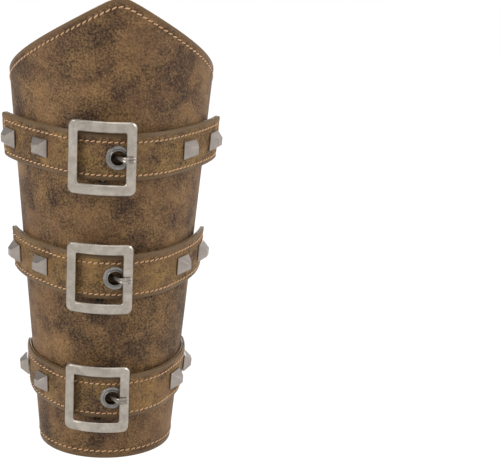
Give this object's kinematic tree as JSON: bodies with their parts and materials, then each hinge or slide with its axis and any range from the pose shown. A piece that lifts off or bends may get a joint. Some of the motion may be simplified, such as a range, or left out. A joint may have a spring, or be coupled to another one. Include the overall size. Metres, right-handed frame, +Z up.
{
  "type": "vambrace",
  "caption": "Leather forearm guard, a peaked tapering tube laced up the back, with three decorative buckled and studded straps across the front.",
  "frame": {"origin": "middle of the wrist rim, on the surface the guard stands on", "axes": "+Z up the forearm from wrist to elbow, -Y the front with the buckles, +Y the lacing"},
  "size_m": [0.1208, 0.1203, 0.258],
  "materials": {
    "shell_leather": "distressed brown leather, mottled dark to tan, matt with a slight sheen",
    "lining_leather": "plain brown leather, matt",
    "strap_leather": "distressed brown leather with tan burnished edges",
    "eyelet_nickel": "antique nickel, tumbled",
    "stud_nickel": "antique nickel, tumbled, worn bright on the ridges",
    "buckle_nickel": "antique nickel, satin brushed, bevelled edges",
    "lace_cord": "dark brown waxed cord"
  },
  "bodies": {
    "guard": {"outer_shell": "shell_leather", "lining": "lining_leather", "lace_eyelet_left_1": "eyelet_nickel", "lace_eyelet_left_2": "eyelet_nickel", "lace_eyelet_left_3": "eyelet_nickel", "lace_eyelet_left_4": "eyelet_nickel", "lace_eyelet_left_5": "eyelet_nickel", "lace_eyelet_left_6": "eyelet_nickel", "lace_eyelet_left_7": "eyelet_nickel", "eyelet_washers_left": "eyelet_nickel", "lace_eyelet_right_1": "eyelet_nickel", "lace_eyelet_right_2": "eyelet_nickel", "lace_eyelet_right_3": "eyelet_nickel", "lace_eyelet_right_4": "eyelet_nickel", "lace_eyelet_right_5": "eyelet_nickel", "lace_eyelet_right_6": "eyelet_nickel", "lace_eyelet_right_7": "eyelet_nickel", "eyelet_washers_right": "eyelet_nickel", "strap_face_top": "strap_leather", "strap_backing_top": "strap_leather", "strap_grommet_top": "eyelet_nickel", "grommet_washer_top": "eyelet_nickel", "stud_top_out_left": "stud_nickel", "stud_top_in_left": "stud_nickel", "stud_top_in_right": "stud_nickel", "stud_top_out_right": "stud_nickel", "stud_caps_top": "stud_nickel", "strap_face_middle": "strap_leather", "strap_backing_middle": "strap_leather", "strap_grommet_middle": "eyelet_nickel", "grommet_washer_middle": "eyelet_nickel", "stud_middle_out_left": "stud_nickel", "stud_middle_in_left": "stud_nickel", "stud_middle_in_right": "stud_nickel", "stud_middle_out_right": "stud_nickel", "stud_caps_middle": "stud_nickel", "strap_face_bottom": "strap_leather", "strap_backing_bottom": "strap_leather", "strap_grommet_bottom": "eyelet_nickel", "grommet_washer_bottom": "eyelet_nickel", "stud_bottom_out_left": "stud_nickel", "stud_bottom_in_left": "stud_nickel", "stud_bottom_in_right": "stud_nickel", "stud_bottom_out_right": "stud_nickel", "stud_caps_bottom": "stud_nickel", "lace": "lace_cord"},
    "buckle_top": {"buckle_frame_top": "buckle_nickel", "buckle_bar_top": "buckle_nickel"},
    "prong_top": {"buckle_prong_top": "buckle_nickel"},
    "buckle_middle": {"buckle_frame_middle": "buckle_nickel", "buckle_bar_middle": "buckle_nickel"},
    "prong_middle": {"buckle_prong_middle": "buckle_nickel"},
    "buckle_bottom": {"buckle_frame_bottom": "buckle_nickel", "buckle_bar_bottom": "buckle_nickel"},
    "prong_bottom": {"buckle_prong_bottom": "buckle_nickel"}
  },
  "joints": [
    {"name": "buckle_rock_top", "type": "hinge", "parent": "guard", "child": "buckle_top", "pos_m": [-0.00735, -0.05463, 0.17705], "axis": [0, -0.0819, 0.9966], "range_deg": [-1.5, 1.5]},
    {"name": "prong_lift_top", "type": "hinge", "parent": "buckle_top", "child": "prong_top", "pos_m": [-0.00735, -0.05463, 0.17705], "axis": [0, 0.0819, -0.9966], "range_deg": [0, 5]},
    {"name": "buckle_rock_middle", "type": "hinge", "parent": "guard", "child": "buckle_middle", "pos_m": [-0.00729, -0.04916, 0.11106], "axis": [0, -0.0819, 0.9966], "range_deg": [-1.5, 1.5]},
    {"name": "prong_lift_middle", "type": "hinge", "parent": "buckle_middle", "child": "prong_middle", "pos_m": [-0.00729, -0.04916, 0.11106], "axis": [0, 0.0819, -0.9966], "range_deg": [0, 5]},
    {"name": "buckle_rock_bottom", "type": "hinge", "parent": "guard", "child": "buckle_bottom", "pos_m": [-0.00721, -0.04334, 0.04086], "axis": [0, -0.0819, 0.9966], "range_deg": [-1.5, 1.5]},
    {"name": "prong_lift_bottom", "type": "hinge", "parent": "buckle_bottom", "child": "prong_bottom", "pos_m": [-0.00721, -0.04334, 0.04086], "axis": [0, 0.0819, -0.9966], "range_deg": [0, 5]}
  ]
}
